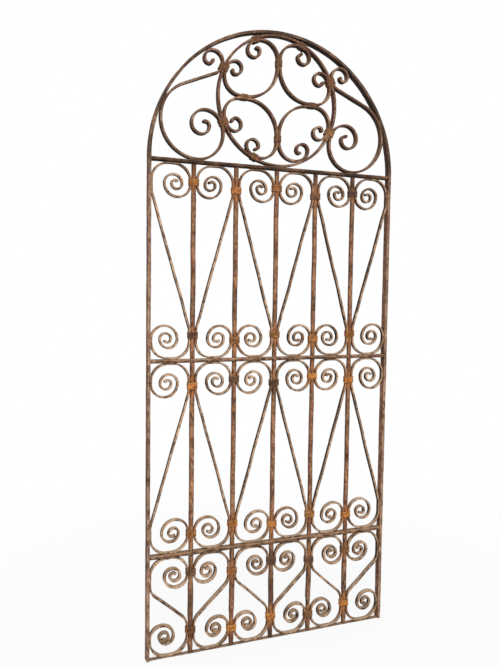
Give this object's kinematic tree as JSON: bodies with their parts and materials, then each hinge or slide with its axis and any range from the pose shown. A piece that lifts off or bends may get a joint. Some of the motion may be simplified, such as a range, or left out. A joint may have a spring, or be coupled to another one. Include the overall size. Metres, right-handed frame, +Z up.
{
  "type": "wrought iron garden gate",
  "caption": "Tall round-arched garden gate of rusted wrought iron, with round uprights, scroll panels, a ring of scrolls in the arch and collared joints.",
  "frame": {"origin": "middle of the flat outer face of the hinge stile, at half its height and depth", "axes": "+X across the gate to the latch stile, +Y from the front to the back, +Z up"},
  "size_m": [0.91, 0.027, 2.1299],
  "materials": {
    "rusted_frame_bar": "matte rusted, dusty, pitted",
    "rusted_rail_bar": "matte rusted, dusty on top",
    "rusted_round_bar": "matte rusted, mottled",
    "rusted_scroll_bar": "matte rusted, hand forged",
    "bright_rust_collar": "matte, bright orange rust"
  },
  "bodies": {
    "root": {"left_stile": "rusted_frame_bar", "right_stile": "rusted_frame_bar", "arch": "rusted_frame_bar", "top_rail": "rusted_rail_bar", "middle_rail": "rusted_rail_bar", "lower_rail": "rusted_rail_bar", "bottom_rail": "rusted_rail_bar", "upright_1": "rusted_round_bar", "upright_2": "rusted_round_bar", "upright_3": "rusted_round_bar", "upright_4": "rusted_round_bar", "upright_5": "rusted_round_bar", "upper_scroll_1": "rusted_scroll_bar", "upper_scroll_2": "rusted_scroll_bar", "upper_scroll_3": "rusted_scroll_bar", "upper_scroll_4": "rusted_scroll_bar", "upper_scroll_5": "rusted_scroll_bar", "upper_scroll_6": "rusted_scroll_bar", "middle_scroll_1": "rusted_scroll_bar", "middle_scroll_2": "rusted_scroll_bar", "middle_scroll_3": "rusted_scroll_bar", "middle_scroll_4": "rusted_scroll_bar", "middle_scroll_5": "rusted_scroll_bar", "middle_scroll_6": "rusted_scroll_bar", "lower_scroll_1": "rusted_scroll_bar", "lower_scroll_2": "rusted_scroll_bar", "lower_scroll_3": "rusted_scroll_bar", "lower_scroll_4": "rusted_scroll_bar", "lower_scroll_5": "rusted_scroll_bar", "lower_scroll_6": "rusted_scroll_bar", "top_ring": "rusted_scroll_bar", "top_scroll_upper_left": "rusted_scroll_bar", "top_scroll_upper_right": "rusted_scroll_bar", "top_scroll_lower_left": "rusted_scroll_bar", "top_scroll_lower_right": "rusted_scroll_bar", "side_scroll_left": "rusted_scroll_bar", "side_scroll_right": "rusted_scroll_bar", "upper_collars_high": "bright_rust_collar", "upper_collars_low": "bright_rust_collar", "middle_collars_high": "bright_rust_collar", "middle_collars_low": "bright_rust_collar", "lower_collars_high": "bright_rust_collar", "lower_collars_low": "bright_rust_collar", "top_collars": "bright_rust_collar"}
  },
  "joints": []
}
